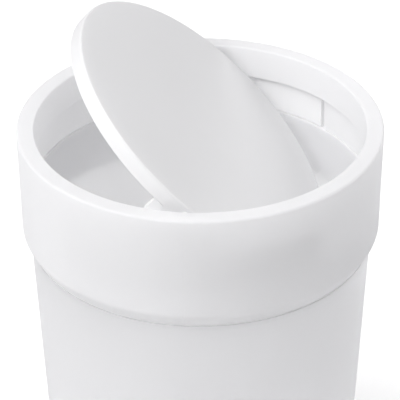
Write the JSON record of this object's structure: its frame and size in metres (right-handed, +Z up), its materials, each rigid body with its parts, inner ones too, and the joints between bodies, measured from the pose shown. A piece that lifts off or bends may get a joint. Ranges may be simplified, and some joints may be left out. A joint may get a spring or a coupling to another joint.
{
  "type": "countertop trash can",
  "caption": "Small round countertop trash can: a tapered bin with a lift-off collar, in which a round flat lid swings on two studs.",
  "frame": {"origin": "centre of the base, on the surface that the bin stands on", "axes": "+Z up along the bin's axis; the lid's pivot axis runs along Y; +X is the side where the lid's edge is down as pictured"},
  "size_m": [0.15, 0.15, 0.2481],
  "materials": {
    "bin_plastic": "white moulded plastic, fine satin grain",
    "collar_plastic": "white moulded plastic, fine satin grain",
    "lid_plastic": "white moulded plastic, fine satin grain"
  },
  "bodies": {
    "bin": {"bin_body": "bin_plastic"},
    "collar": {"lid_collar": "collar_plastic", "pivot_bracket_front": "collar_plastic", "pivot_bracket_back": "collar_plastic"},
    "lid": {"lid_top": "lid_plastic", "lid_base": "lid_plastic"}
  },
  "joints": [
    {"name": "collar_lift", "type": "slide", "parent": "bin", "child": "collar", "axis": [0, 0, 1], "range_m": [0, 0.06]},
    {"name": "lid_swing", "type": "hinge", "parent": "collar", "child": "lid", "pos_m": [0, 0, 0.2025], "axis": [0, 1, 0], "continuous": true}
  ]
}
